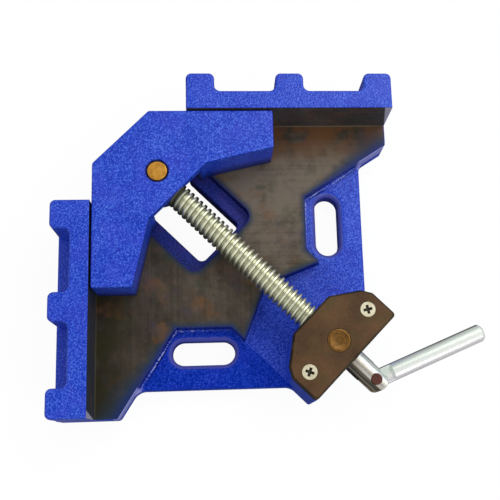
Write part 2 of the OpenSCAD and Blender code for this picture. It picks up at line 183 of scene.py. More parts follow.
def addFloor(look):
    bpy.ops.mesh.primitive_plane_add(size=look["floorSize"], location=(0, 0, -look["floorDrop"]))
    floor = bpy.context.object
    floor.name = "whiteFloor"
    material = bpy.data.materials.new("floorWhite")
    material.use_nodes = True
    tree = material.node_tree
    tree.nodes.clear()
    output = addNode(tree, "ShaderNodeOutputMaterial")
    blend = addNode(tree, "ShaderNodeMixShader")
    matte = addNode(tree, "ShaderNodeBsdfDiffuse")
    glow = addNode(tree, "ShaderNodeEmission")
    glow.inputs["Color"].default_value = look["tentColor"]
    ray = addNode(tree, "ShaderNodeLightPath")
    seen = addNode(tree, "ShaderNodeMath", operation="MAXIMUM")
    seenToo = addNode(tree, "ShaderNodeMath", operation="MAXIMUM")
    share = addNode(tree, "ShaderNodeMath", operation="MULTIPLY")
    share.inputs[1].default_value = look["floorGlow"]
    darker = addNode(tree, "ShaderNodeMath", operation="SUBTRACT")
    darker.inputs[1].default_value = look["floorWhite"]
    strength = addNode(tree, "ShaderNodeMath", operation="MULTIPLY_ADD")
    strength.inputs[2].default_value = look["floorWhite"]
    place = addNode(tree, "ShaderNodeTexCoord")
    away = addNode(tree, "ShaderNodeVectorMath", operation="DISTANCE")
    away.inputs[1].default_value = (look["aim"][0], look["aim"][1], 0)
    clear = addNode(tree, "ShaderNodeMapRange")
    setRange(clear, look["shadedRadius"], look["mirrorGlow"])
    grey = addNode(tree, "ShaderNodeMapRange")
    setRange(grey, (0, 1), look["floorGrey"])
    linkAll(
        tree,
        (ray.outputs["Is Camera Ray"], grey.inputs["Value"]),
        (grey.outputs["Result"], matte.inputs["Color"]),
        (place.outputs["Object"], away.inputs[0]),
        (away.outputs["Value"], clear.inputs["Value"]),
        (clear.outputs["Result"], darker.inputs[0]),
        (darker.outputs[0], strength.inputs[0]),
        (ray.outputs["Is Glossy Ray"], strength.inputs[1]),
        (strength.outputs[0], glow.inputs["Strength"]),
        (ray.outputs["Is Camera Ray"], seen.inputs[0]),
        (ray.outputs["Is Glossy Ray"], seen.inputs[1]),
        (seen.outputs[0], seenToo.inputs[0]),
        (ray.outputs["Is Transmission Ray"], seenToo.inputs[1]),
        (seenToo.outputs[0], share.inputs[0]),
        (share.outputs[0], blend.inputs[0]),
        (matte.outputs[0], blend.inputs[1]),
        (glow.outputs[0], blend.inputs[2]),
        (blend.outputs[0], output.inputs["Surface"]),
    )
    floor.data.materials.append(material)


bpy.context.scene.view_settings.view_transform = "Standard"
setTent(lightLook)
for panel in lightLook["panels"]:
    addPanel(*panel, lightLook["aim"])
addFloor(lightLook)
print("light and floor set")


# finishes
class Finish:
    def __init__(self, name):
        self.material = bpy.data.materials.new(name)
        self.material.use_nodes = True
        self.tree = self.material.node_tree
        self.shader = self.tree.nodes["Principled BSDF"]
        self.place = self.add("ShaderNodeTexCoord").outputs["Object"]

    def add(self, kind, **settings):
        return addNode(self.tree, kind, **settings)

    def feed(self, socket, value):
        if isinstance(value, (int, float)):
            socket.default_value = value
        elif isinstance(value, tuple):
            socket.default_value = (*value, 1)
        else:
            self.tree.links.new(value, socket)

    def noise(self, size, detail=3, roughness=0.6, stretch=(1, 1, 1), turn=0, moved=0):
        mapping = self.add("ShaderNodeMapping", vector_type="TEXTURE")
        mapping.inputs["Scale"].default_value = stretch  # times longer along each turned axis
        mapping.inputs["Rotation"].default_value = (0, 0, math.radians(turn))
        mapping.inputs["Location"].default_value = (moved, moved, 0)
        self.feed(mapping.inputs["Vector"], self.place)
        texture = self.add("ShaderNodeTexNoise")
        texture.inputs["Scale"].default_value = 1 / (size * mm)  # size of one blotch in mm
        texture.inputs["Detail"].default_value = detail
        texture.inputs["Roughness"].default_value = roughness
        self.feed(texture.inputs["Vector"], mapping.outputs["Vector"])
        return texture.outputs["Fac"]

    def math(self, operation, first, second):
        node = self.add("ShaderNodeMath", operation=operation)
        self.feed(node.inputs[0], first)
        self.feed(node.inputs[1], second)
        return node.outputs[0]

    def plus(self, first, second):
        return self.math("ADD", first, second)

    def minus(self, first, second):
        return self.math("SUBTRACT", first, second)

    def times(self, first, second):
        return self.math("MULTIPLY", first, second)

    def least(self, first, second):
        return self.math("MINIMUM", first, second)

    def most(self, first, second):
        return self.math("MAXIMUM", first, second)

    def length(self, first, second):
        return self.math("SQRT", self.plus(self.times(first, first), self.times(second, second)), 0)

    def size(self, value):
        return self.math("ABSOLUTE", value, 0)

    def along(self, x, y):  # from the fences' corner, along the screw
        return self.times(self.plus(x, y), math.sqrt(0.5))

    def across(self, x, y):  # from the screw's line
        return self.times(self.minus(y, x), math.sqrt(0.5))

    def blend(self, *parts):
        total = None
        for share, value in parts:
            part = self.times(value, share)
            total = part if total is None else self.plus(total, part)
        return total

    def between(self, value, low, high, fromValue=0.0, toValue=1.0):
        node = self.add("ShaderNodeMapRange", interpolation_type="SMOOTHSTEP")
        self.feed(node.inputs["Value"], value)
        setRange(node, (low, high), (fromValue, toValue))
        return node.outputs["Result"]

    def ramp(self, value, *stops):
        node = self.add("ShaderNodeValToRGB")
        elements = node.color_ramp.elements
        while len(elements) < len(stops):
            elements.new(0.5)
        for element, (position, color) in zip(elements, stops):
            element.position = position
            element.color = (*color, 1)
        self.feed(node.inputs["Fac"], value)
        return node.outputs["Color"]

    def tones(self, value, look, stops="stops"):
        return self.ramp(value, *((place, look[color]) for place, color in look[stops]))

    def mix(self, share, first, second):
        node = self.add("ShaderNodeMix", data_type="RGBA")
        sockets = [socket for socket in node.inputs if socket.enabled]
        for socket, value in zip(sockets, (share, first, second)):
            self.feed(socket, value)
        return [socket for socket in node.outputs if socket.enabled][0]

    def stained(self, color, look):
        for stain, size, detail, turn, moved, tones, share in look["stains"]:
            blotches = self.noise(size, detail, turn=turn, moved=moved)
            color = self.mix(self.between(blotches, *tones, 0, share), color, look[stain])
        return color

    def axes(self):
        node = self.add("ShaderNodeSeparateXYZ")
        self.feed(node.inputs[0], self.place)
        return [self.times(axis, 1 / mm) for axis in node.outputs]  # in mm

    def bump(self, height, strength, depth):
        node = self.add("ShaderNodeBump")
        node.inputs["Strength"].default_value = strength
        node.inputs["Distance"].default_value = depth * mm
        self.feed(node.inputs["Height"], height)
        self.feed(self.shader.inputs["Normal"], node.outputs[0])

    def set(self, **values):
        for name, value in values.items():
            self.feed(self.shader.inputs[socketNames[name]], value)


socketNames = {
    "color": "Base Color", "metal": "Metallic", "rough": "Roughness", "specular": "Specular IOR Level",
}

paintLook = {
    "dark": (0.000, 0.025, 0.45), "mid": (0.003, 0.053, 0.67), "light": (0.094, 0.206, 0.90),
    "stops": ((0.44, "dark"), (0.54, "mid"), (0.66, "light")),  # the speckle's tone at each colour
    "mixture": (0.62, 0.36, 0.10), "bumpMixture": (0.6, 0.4),  # shares of coarse, fine and broad speckle
    "violet": (0.062, 0.063, 0.72), "violetShare": 0.18, "violetTone": (0.46, 0.64),  # redder patches
    "grain": 0.85, "patch": 15, "violetPatch": 13,  # mm, the paint's dimples and its patches
    "rough": 0.28, "specular": 0.4,
    "bumpShare": 0.75, "bumpDepth": 0.3,
}
# painted shade: a darker copy of the paint for the sunk ledge and the slots' walls
sunkShadeLook = dict(
    paintLook, dark=(0.003, 0.010, 0.08), mid=(0.016, 0.040, 0.40), light=(0.060, 0.085, 0.60),
    violet=(0.070, 0.042, 0.330), violetShare=0.4, rough=0.5, specular=0.3)
# painted shade: a darker copy of the paint for the pad on the X side, a little lighter on its neck
padShadeLook = dict(
    paintLook, dark=(0.000, 0.018, 0.30), mid=(0.001, 0.031, 0.47), light=(0.030, 0.080, 0.64),
    violetShare=0.06, specular=0.05)
neckShadeLook = dict(padShadeLook, dark=(0.014, 0.042, 0.42), mid=(0.028, 0.072, 0.60), light=(0.095, 0.165, 0.84))
shadeLook = dict(
    paintLook, dark=(0.006, 0.009, 0.060), mid=(0.016, 0.022, 0.150), light=(0.035, 0.042, 0.24),
    violetShare=0, rough=0.9, specular=0.05)


def speckleOf(finish, look):
    coarse = finish.noise(look["grain"], 2, 0.55)
    fine = finish.noise(look["grain"] / 2, 2, 0.5, turn=30)
    broad = finish.noise(look["patch"], 3, 0.55)
    finish.set(rough=look["rough"], specular=look["specular"])
    dimples = finish.blend(*zip(look["bumpMixture"], (coarse, fine)))
    finish.bump(dimples, look["bumpShare"], look["bumpDepth"])
    return finish.blend(*zip(look["mixture"], (coarse, fine, broad)))


def paintColor(finish, speckle, look):
    patches = finish.noise(look["violetPatch"], 2, turn=25)
    patches = finish.between(patches, *look["violetTone"], 0, look["violetShare"])
    return finish.mix(patches, finish.tones(speckle, look), look["violet"])


def hammeredBlue(name, look):
    finish = Finish(name)
    finish.set(color=paintColor(finish, speckleOf(finish, look), look))
    return finish.material


bedLook = {  # the bed's edges in mm
    "armEnd": 12, "fenceEnd": 162, "armSlope": 0.632, "padInner": 114.5, "padOuter": 147, "neckHalf": 30,
    "notch": 129.3, "notchSlope": 0.4245, "ledgeHalf": 23.3, "ledgeEnd": 97.8, "ledgeCorner": 6.3,
    "slotReach": 127.4, "slotMid": 57, "slotRadius": 6.5, "slotStraight": 10.5,
}


# mm from a place on the bed to its nearest painted edge, below zero outside the bed
def roomToPaint(finish, look, x, y):
    u, v = finish.most(x, y), finish.least(x, y)
    along, across = finish.along(x, y), finish.size(finish.across(x, y))
    steep = math.sqrt(1 + look["armSlope"] ** 2)
    armEdge = finish.plus(finish.times(finish.minus(look["fenceEnd"], u), look["armSlope"]), look["armEnd"])
    arm = finish.times(finish.minus(armEdge, v), 1 / steep)
    rear = finish.minus(finish.plus(finish.times(across, look["notchSlope"]), look["notch"]), along)
    sideways = finish.most(finish.minus(across, look["ledgeHalf"] - look["ledgeCorner"]), 0)
    backwards = finish.most(finish.minus(along, look["ledgeEnd"] - look["ledgeCorner"]), 0)
    ledge = finish.minus(finish.length(sideways, backwards), look["ledgeCorner"])
    outer = finish.most(arm, finish.minus(look["padInner"], u))
    outer = finish.most(outer, finish.minus(look["neckHalf"], across))
    return finish.least(finish.least(outer, rear), ledge)


def roomToSlot(finish, look, x, y):
    u, v = finish.most(x, y), finish.least(x, y)
    beside = finish.minus(u, look["slotReach"])
    beyond = finish.size(finish.minus(v, look["slotMid"]))
    beyond = finish.most(finish.minus(beyond, look["slotStraight"]), 0)
    return finish.minus(finish.length(beside, beyond), look["slotRadius"])


castLook = {  # bands are in mm from the bed's edge, or from a slot's
    "neckSoft": 0.6, "padSoft": 2,  # mm over which one paint gives way to the next
    "wall": (0.003, 0.010, 0.11), "wallBand": (0.3, 0.8), "wallShare": 0.9,  # painted shade on the bed's edge wall above the pads
    "glint": (0.42, 0.48, 0.88), "glintIn": (-1.7, -1.0), "glintOut": (-0.7, -0.3),  # painted glints, light specks along its foot
    "speckSize": 1.4, "speckTone": (0.47, 0.60), "speckShare": (0.05, 0.85),
    "glintAcross": (30, 54), "glintShare": (0.1, 1),  # mm from the screw's line, from few specks to many
    "rim": (0.100, 0.110, 0.46), "rimSheenBand": (1.9, 3.0), "rimSheenShare": 0.85, "rimSheenSize": 3,  # round the slots, painted sheen on their chamfers
    "sheen": (0.52, 0.52, 0.92), "sheenBand": (1.2, 2.4), "sheenShare": 0.62,  # painted sheen on the arms' ends
    "wallFoot": (10.7, 11.3), "glintFoot": (9.5, 10.2),  # mm above the bench
    "rimSheenTop": (10.8, 11.5), "sheenFoot": (6, 9),
}


def castingBlue(name, paint, cast, bed, neck=None):
    finish = Finish(name)
    speckle = speckleOf(finish, paint)
    color = paintColor(finish, speckle, paint)
    x, y, z = finish.axes()
    u, across = finish.most(x, y), finish.size(finish.across(x, y))
    # a neck look makes that painted shade lighter on the pad's neck
    if neck:
        neckEdge = (bed["neckHalf"] - cast["neckSoft"], bed["neckHalf"] + cast["neckSoft"])
        color = finish.mix(finish.between(across, *neckEdge), paintColor(finish, speckle, neck), color)
    room = roomToPaint(finish, bed, x, y)
    fromEdge = finish.size(room)
    onPad = finish.between(u, bed["padOuter"] - cast["padSoft"], bed["padOuter"], 1, 0)
    # painted shade: the bed's steep edge wall above the pads darkened
    wall = finish.times(onPad, finish.between(z, *cast["wallFoot"]))
    wall = finish.times(wall, finish.between(fromEdge, *cast["wallBand"], cast["wallShare"], 0))
    color = finish.mix(wall, color, cast["wall"])
    # painted glints: light specks along the foot of that wall
    foot = finish.between(room, *cast["glintOut"], 1, 0)
    foot = finish.times(finish.between(room, *cast["glintIn"]), foot)
    foot = finish.times(finish.times(foot, onPad), finish.between(z, *cast["glintFoot"]))
    foot = finish.times(foot, finish.between(across, *cast["glintAcross"], *cast["glintShare"]))
    specks = finish.noise(cast["speckSize"], 2, turn=15)
    specks = finish.between(specks, *cast["speckTone"], *cast["speckShare"])
    color = finish.mix(finish.times(foot, specks), color, cast["glint"])
    # painted sheen: a paler lilac ring round the slots, on their chamfers
    rim = finish.plus(roomToSlot(finish, bed, x, y), finish.noise(cast["rimSheenSize"], 2))
    rim = finish.between(rim, *cast["rimSheenBand"], cast["rimSheenShare"], 0)
    color = finish.mix(finish.times(rim, finish.between(z, *cast["rimSheenTop"], 1, 0)), color, cast["rim"])
    # painted sheen: the arms' end walls pale lilac where they face the light
    sheen = finish.between(fromEdge, *cast["sheenBand"], cast["sheenShare"], 0)
    sheen = finish.times(finish.times(finish.minus(1, onPad), sheen), finish.between(z, *cast["sheenFoot"]))
    finish.set(color=finish.mix(sheen, color, cast["sheen"]))
    return finish.material


sideShadeLook = {  # the jaw's sides, with painted shade darker towards the bed
    "paintedShade": (0.002, 0.008, 0.070), "height": 14, "foot": 0.92, "top": 0.15, "specular": 0.2,
}


def shadedSideBlue(name, paint, side):
    finish = Finish(name)
    z = finish.axes()[2]
    low = bedHeight / mm
    # painted shade, darker towards the bed
    share = finish.between(z, low, low + side["height"], side["foot"], side["top"])
    color = paintColor(finish, speckleOf(finish, paint), paint)
    finish.set(color=finish.mix(share, color, side["paintedShade"]), specular=side["specular"])
    return finish.material


ironLook = {
    "dark": (0.020, 0.016, 0.010), "mid": (0.086, 0.068, 0.050), "light": (0.190, 0.155, 0.120),
    "stops": ((0.26, "dark"), (0.46, "mid"), (0.66, "light")),
    "clouds": ((0.38, 26, 3, 0.55), (0.27, 8), (0.12, 1.6, 2)),  # share, mm, detail, roughness
    "streakShare": 0.23, "streakSize": 2.0, "streakLength": 50,  # mm across, and times longer
    "shadeByWall": (0, 30, 0.76, 1.04), "lightBySide": (-50, 60, 0.87, 1.23),  # mm from and to, and the tone's factors: painted shade near the fences, painted light towards the Y side
    "rust": (0.200, 0.088, 0.033), "green": (0.050, 0.060, 0.032), "violet": (0.075, 0.056, 0.085),
    "stains": (  # colour, mm, detail, turn in degrees, shift, tones, share
        ("rust", 15, 3, 20, 0, (0.50, 0.70), 0.65),
        ("green", 12, 3, 70, 0, (0.52, 0.72), 0.6),
        ("violet", 18, 2, 45, 0.3, (0.52, 0.72), 0.6),
    ),
    "olive": (0.038, 0.034, 0.013), "wallBand": (2, 26), "wallShare": 0.9,  # mm, stains along the fences
    "wallSize": 14, "wallTone": (0.34, 0.54),
    "footHighlight": (0.230, 0.195, 0.130), "footHighlightBand": (0.3, 0.8), "footHighlightShare": 0.75, "footHighlightLessX": 0.6,
    "overspray": (0.012, 0.036, 0.185), "ledgeSpray": (0.006, 0.020, 0.130),
    "thinSpray": (0.024, 0.048, 0.085),
    "sprayFrom": (116, 156), "sprayReach": (4.8, 17.0), "ledgeSprayEnd": (102, 122),  # mm
    "spraySize": 7, "sprayLeast": 0.45, "sprayShare": 0.9, "thinStart": 0.4,
    "slate": (0.034, 0.050, 0.090), "slateTone": (0.38, 0.62), "slateShare": (1.0, 0.4), "slateY": 0.35,
    "faceFoot": (0.2, 0.6),  # mm above the bed, where a fence's face starts
    "endPaintSheen": (0.520, 0.500, 0.630), "endDraft": 0.16, "endSoft": 0.4,
    "metal": 0.3, "rough": (0.25, 0.65, 0.45, 0.58), "specular": 0.2,  # roughness by tone
    "bumpShare": 0.12, "bumpDepth": 0.05,
}


def machinedIron(name, look, bed):
    finish = Finish(name)
    x, y, z = finish.axes()
    u, v = finish.most(x, y), finish.least(x, y)
    height = finish.minus(z, bedHeight / mm)
    onFace = finish.between(height, *look["faceFoot"])
    alongX = finish.math("LESS_THAN", y, x)  # nearer to the fence along X
    alongY = finish.minus(1, alongX)
    streakX = finish.noise(look["streakSize"], stretch=(look["streakLength"], 1, 1))
    streakY = finish.noise(look["streakSize"], stretch=(1, look["streakLength"], 1))
    streak = finish.plus(finish.times(streakX, alongX), finish.times(streakY, alongY))
    clouds = [(share, finish.noise(*cloud)) for share, *cloud in look["clouds"]]
    tone = finish.blend(*clouds, (look["streakShare"], streak))
    # painted shade near the fences and painted light towards the Y side
    tone = finish.times(tone, finish.between(v, *look["shadeByWall"]))
    tone = finish.times(tone, finish.between(finish.minus(y, x), *look["lightBySide"]))
    color = finish.stained(finish.tones(tone, look), look)
    alongWall = finish.between(finish.noise(look["wallSize"]), *look["wallTone"])
    alongWall = finish.times(finish.between(v, *look["wallBand"], look["wallShare"], 0), alongWall)
    alongWall = finish.times(alongWall, finish.between(height, *look["faceFoot"], 1, 0))
    color = finish.mix(finish.times(alongWall, alongY), color, look["rust"])
    color = finish.mix(finish.times(alongWall, alongX), color, look["olive"])
    # painted highlight: a pale line along the foot of the fence faces, fainter on the X fence
    foot = finish.between(finish.most(v, height), *look["footHighlightBand"], look["footHighlightShare"], 0)
    foot = finish.times(foot, finish.minus(1, finish.times(alongX, look["footHighlightLessX"])))
    color = finish.mix(foot, color, look["footHighlight"])
    reach = finish.between(u, *look["sprayFrom"], *look["sprayReach"])
    reach = finish.times(reach, finish.plus(finish.noise(look["spraySize"]), look["sprayLeast"]))
    fromPaint = finish.math("DIVIDE", roomToPaint(finish, bed, x, y), reach)
    spray = finish.mix(finish.between(u, *look["ledgeSprayEnd"]), look["ledgeSpray"], look["overspray"])
    spray = finish.mix(finish.between(fromPaint, 0, look["thinStart"]), spray, look["thinSpray"])
    color = finish.mix(finish.between(fromPaint, 0, 1, look["sprayShare"], 0), color, spray)
    slate = finish.plus(finish.times(alongX, 1 - look["slateY"]), look["slateY"])
    slate = finish.times(finish.times(onFace, slate),
                         finish.between(streakX, *look["slateTone"], *look["slateShare"]))
    color = finish.mix(slate, color, look["slate"])
    # the fence faces' unmachined corner at their ends: real paint, shown pale lilac as painted sheen
    endEdge = finish.minus(bed["fenceEnd"], finish.times(height, look["endDraft"]))
    pastEnd = finish.between(finish.minus(u, endEdge), -look["endSoft"], look["endSoft"])
    color = finish.mix(finish.times(pastEnd, onFace), color, look["endPaintSheen"])
    rough = finish.between(tone, *look["rough"])
    finish.set(color=color, metal=look["metal"], rough=rough, specular=look["specular"])
    finish.bump(streak, look["bumpShare"], look["bumpDepth"])
    return finish.material


coverLook = {
    "dark": (0.066, 0.031, 0.011), "mid": (0.104, 0.050, 0.018), "light": (0.140, 0.070, 0.027),
    "stops": ((0.36, "dark"), (0.50, "mid"), (0.64, "light")),
    "olive": (0.085, 0.060, 0.018), "stains": (("olive", 11, 2, 50, 0, (0.50, 0.70), 0.6),),
    "grain": 0.9, "grainShare": 0.35, "cloud": 16, "cloudShare": 0.65,  # mm and shares of the tone
    "metal": 0.1, "rough": 0.5, "specular": 0.3, "bumpShare": 0.25, "bumpDepth": 0.06,
}
# painted shade: a darker copy of the cover's finish for its sides and edges
coverSideShadeLook = dict(
    coverLook, dark=(0.012, 0.008, 0.004), mid=(0.030, 0.020, 0.009), light=(0.06, 0.036, 0.016))


def brownOxide(name, look):
    finish = Finish(name)
    fine = finish.noise(look["grain"])
    clouds = finish.noise(look["cloud"], 3, 0.5)
    tone = finish.blend((look["cloudShare"], clouds), (look["grainShare"], fine))
    color = finish.stained(finish.tones(tone, look), look)
    finish.set(color=color, metal=look["metal"], rough=look["rough"], specular=look["specular"])
    finish.bump(fine, look["bumpShare"], look["bumpDepth"])
    return finish.material


plateLook = {  # what all plated pieces share
    "grain": 0.7, "grainTone": (0.35, 0.65), "bumpShare": 0.08, "bumpDepth": 0.04,
}
headZincLook = dict(
    plateLook, base=(0.74, 0.67, 0.45), tint=(0.88, 0.82, 0.60), metal=0.45, rough=(0.357, 0.504),
    patch=6, patchTone=(0.40, 0.62))
# painted shade in the screws' cross recesses
crossShadeLook = dict(
    headZincLook, base=(0.030, 0.028, 0.016), tint=(0.060, 0.056, 0.034), metal=0.3, rough=(0.51, 0.72))


def plateGrain(finish, look):
    fine = finish.noise(look["grain"])
    finish.bump(fine, look["bumpShare"], look["bumpDepth"])
    rough = finish.between(fine, *look["grainTone"], *look["rough"])
    finish.set(metal=look["metal"], rough=rough)
    return fine, rough


def platedSteel(name, look):
    finish = Finish(name)
    plateGrain(finish, look)
    patches = finish.between(finish.noise(look["patch"]), *look["patchTone"])
    finish.set(color=finish.mix(patches, look["base"], look["tint"]))
    return finish.material


zincLook = {
    **plateLook,
    # painted light on the thread: highlights on the crests, shade on the flanks
    "crest": (0.95, 0.96, 0.72), "flank": (0.36, 0.37, 0.23), "groove": (0.62, 0.63, 0.42),
    "threadStops": ((0.12, "groove"), (0.42, "flank"), (0.75, "flank"), (0.95, "crest")),
    "depthShare": 0.85, "grainShare": 0.3,
    "tailLight": (0.82, 0.88, 0.85), "tailDark": (0.085, 0.080, 0.062), "tailWarm": (0.52, 0.44, 0.33),
    "tailStops": ((0.30, "tailDark"), (0.44, "tailWarm"), (0.60, "tailLight")),
    "streakSize": 2.2, "streakLength": 30,  # mm across, and times longer
    "tailTilt": 0.035, "tailLift": 0.05,  # how much the tail's painted light rises per mm across, and everywhere
    "threadEnd": 189.3, "endSoft": 0.4, "grooveRadius": 5.3, "crestRadius": 6.9,  # mm
    "sideShade": (0.085, 0.088, 0.050), "sideShadeBand": (4.6, 6.8), "sideShadeShare": 0.65,  # painted shade down the thread's sides
    "paintedShade": (0.012, 0.013, 0.008), "paintedShadeBand": (4.9, 6.2), "paintedShadeEnd": (90, 100),  # black painted shade on the thread's sides by the jaw
    "paintedShadeShare": (0.05, 0.95), "paintedShadeAside": 0.7,  # the last in mm
    "paintedShadeStart": (64.5, 68.5), "ringShare": 0.75,  # mm, where it goes all round
    "grain": 0.8, "metal": 0.7, "rough": (0.28, 0.42), "paintedShadeRough": 0.5,
}


def screwFinish(name, look):
    finish = Finish(name)
    x, y, z = finish.axes()
    along, across = finish.along(x, y), finish.across(x, y)
    radius = finish.length(across, finish.minus(z, screwHeight / mm))
    depth = finish.between(radius, look["grooveRadius"], look["crestRadius"])
    fine, rough = plateGrain(finish, look)
    # painted light: the thread's tone by depth, crests lit and flanks shaded
    tone = finish.blend((look["depthShare"], depth), (look["grainShare"], fine))
    thread = finish.tones(tone, look, "threadStops")
    # painted shade on the thread's sides
    sideShaded = finish.between(finish.size(across), *look["sideShadeBand"], 0, look["sideShadeShare"])
    thread = finish.mix(sideShaded, thread, look["sideShade"])
    # painted shade: black on the thread's sides by the jaw and all round at the jaw's mouth, rougher there
    # too
    besideShadeLine = finish.size(finish.plus(across, look["paintedShadeAside"]))
    paintedShadeMask = finish.most(finish.between(besideShadeLine, *look["paintedShadeBand"], *look["paintedShadeShare"]),
                        finish.between(along, *look["paintedShadeStart"], look["ringShare"], 0))
    paintedShadeMask = finish.times(paintedShadeMask, finish.between(along, *look["paintedShadeEnd"], 1, 0))
    thread = finish.mix(paintedShadeMask, thread, look["paintedShade"])
    # painted reflection on the tail: light and dark bands along it, lighter towards one side
    streakBands = finish.noise(look["streakSize"], stretch=(look["streakLength"], 1, 1), turn=screwTurn)
    shade = finish.plus(finish.times(across, look["tailTilt"]), look["tailLift"])
    tail = finish.tones(finish.plus(streakBands, shade), look, "tailStops")
    onTail = finish.between(along, look["threadEnd"], look["threadEnd"] + look["endSoft"])
    rough = finish.plus(rough, finish.times(paintedShadeMask, look["paintedShadeRough"]))
    finish.set(color=finish.mix(onTail, thread, tail), rough=rough)
    return finish.material


handleLook = {
    **plateLook,
    "highlightWhite": (0.96, 0.98, 0.94), "mint": (0.82, 0.90, 0.82), "lilac": (0.80, 0.77, 0.81),
    "dark": (0.27, 0.25, 0.26),
    "stops": (  # across the bar: a painted highlight with painted reflection bands and a shaded edge
        (0.05, "dark"), (0.12, "mint"), (0.42, "mint"), (0.54, "highlightWhite"), (0.68, "highlightWhite"), (0.86, "lilac"),
    ),
    "direction": 112,  # degrees from X, along the bar
    "tilt": 0.1, "lift": 0.375, "streakShare": 0.25, "streakSize": 1.6, "streakLength": 40,
    "metal": 0.35, "rough": (0.26, 0.38), "bumpShare": 0.06,
}


def handleFinish(name, look):
    finish = Finish(name)
    x, y = finish.axes()[:2]
    turn = math.radians(look["direction"])
    besideX = finish.times(finish.minus(x, rivetMiddle.x / mm), math.sin(turn))
    besideY = finish.times(finish.minus(y, rivetMiddle.y / mm), -math.cos(turn))
    beside = finish.plus(besideX, besideY)  # mm from the bar's middle line, below zero on the fences' side
    streakBands = finish.noise(look["streakSize"], stretch=(look["streakLength"], 1, 1), turn=look["direction"])
    # painted highlight: the tone across the bar, white down the middle, dark at the fences' edge
    place = finish.plus(finish.times(streakBands, look["streakShare"]), look["lift"])
    place = finish.plus(finish.times(beside, look["tilt"]), place)
    plateGrain(finish, look)
    finish.set(color=finish.tones(place, look))
    return finish.material


turnedLook = {  # rings left by the lathe, under blotches
    "rings": {"Scale": 420, "Distortion": 1.2, "Detail": 2}, "ringShare": 0.25,
    "blotch": 2.4, "blotchShare": 0.75,
    "stops": ((0.3, "dark"), (0.6, "base")), "metal": 0.75, "bumpShare": 0.1, "bumpDepth": 0.05,
}
goldLook = dict(turnedLook, base=(0.84, 0.42, 0.060), dark=(0.42, 0.17, 0.020), rough=0.38)
amberLook = dict(turnedLook, base=(0.30, 0.145, 0.030), dark=(0.10, 0.046, 0.011), rough=0.35)
rivetLook = dict(turnedLook, base=(0.18, 0.065, 0.050), dark=(0.05, 0.02, 0.016), rough=0.45)


def turnedMetal(name, look, centre):
    finish = Finish(name)
    mapping = finish.add("ShaderNodeMapping")
    mapping.inputs["Location"].default_value = (-centre.x, -centre.y, 0)
    finish.feed(mapping.inputs["Vector"], finish.place)
    rings = finish.add("ShaderNodeTexWave", wave_type="RINGS", rings_direction="Z")
    for key, value in look["rings"].items():
        rings.inputs[key].default_value = value
    finish.feed(rings.inputs["Vector"], mapping.outputs["Vector"])
    blotches = finish.noise(look["blotch"], 4, 0.65)
    tone = finish.blend((look["blotchShare"], blotches), (look["ringShare"], rings.outputs["Fac"]))
    finish.set(color=finish.tones(tone, look), metal=look["metal"], rough=look["rough"])
    finish.bump(rings.outputs["Fac"], look["bumpShare"], look["bumpDepth"])
    return finish.material


bluePaint = hammeredBlue("hammeredBlue", paintLook)
sunkShadeBlue = hammeredBlue("sunkShadeBlue", sunkShadeLook)
castBlue = castingBlue("castingBlue", paintLook, castLook, bedLook)
padShadeBlue = castingBlue("padShadeBlue", padShadeLook, castLook, bedLook, neckShadeLook)
shadeBlue = hammeredBlue("shadeBlue", shadeLook)
jawShadedSideBlue = shadedSideBlue("jawShadedSideBlue", paintLook, sideShadeLook)
bareIron = machinedIron("machinedIron", ironLook, bedLook)
brownPlate = brownOxide("brownOxide", coverLook)
brownSideShade = brownOxide("brownSideShade", coverSideShadeLook)
screwZinc = screwFinish("screwZinc", zincLook)
handleZinc = handleFinish("handleZinc", handleLook)
headZinc = platedSteel("headZinc", headZincLook)
crossShade = platedSteel("crossShade", crossShadeLook)
goldBronze = turnedMetal("goldBronze", goldLook, trunnionMiddle)
amberBronze = turnedMetal("amberBronze", amberLook, nutMiddle)
rivetBrown = turnedMetal("rivetBrown", rivetLook, rivetMiddle)
print("finishes made")


# shared ways of working
meshLook = {"weld": 0.002, "flat": 0.6, "sharp": 28, "smooth": 40, "weight": 80}  # mm, three angles, a share


def only(piece):
    bpy.ops.object.select_all(action="DESELECT")
    piece.select_set(True)
    bpy.context.view_layer.objects.active = piece


def startEdit(piece):  # with all of its mesh selected
    only(piece)
    bpy.ops.object.mode_set(mode="EDIT")
    bpy.ops.mesh.select_all(action="SELECT")


def endEdit():
    bpy.ops.object.mode_set(mode="OBJECT")


def copyOfNode(node, name):
    piece = nodes[node].copy()
    piece.data = nodes[node].data.copy()
    bpy.context.scene.collection.objects.link(piece)
    piece.name = name
    piece.data.name = name
    piece.parent = None
    for key in list(piece.keys()):
        del piece[key]
    piece.data.materials.clear()
    startEdit(piece)
    bpy.ops.mesh.remove_doubles(threshold=meshLook["weld"] * mm)
    bpy.ops.mesh.dissolve_limited(angle_limit=math.radians(meshLook["flat"]))
    endEdit()
    bpy.ops.mesh.customdata_custom_splitnormals_clear()
    return piece


def useModifier(piece, kind, name, **settings):
    only(piece)
    modifier = piece.modifiers.new(name, kind)
    for key, value in settings.items():
        setattr(modifier, key, value)
    bpy.ops.object.modifier_apply(modifier=name)


def edgeFaces(mesh):
    faces = {}
    for polygon in mesh.polygons:
        for key in polygon.edge_keys:
            faces.setdefault(key, []).append(polygon)
    return faces


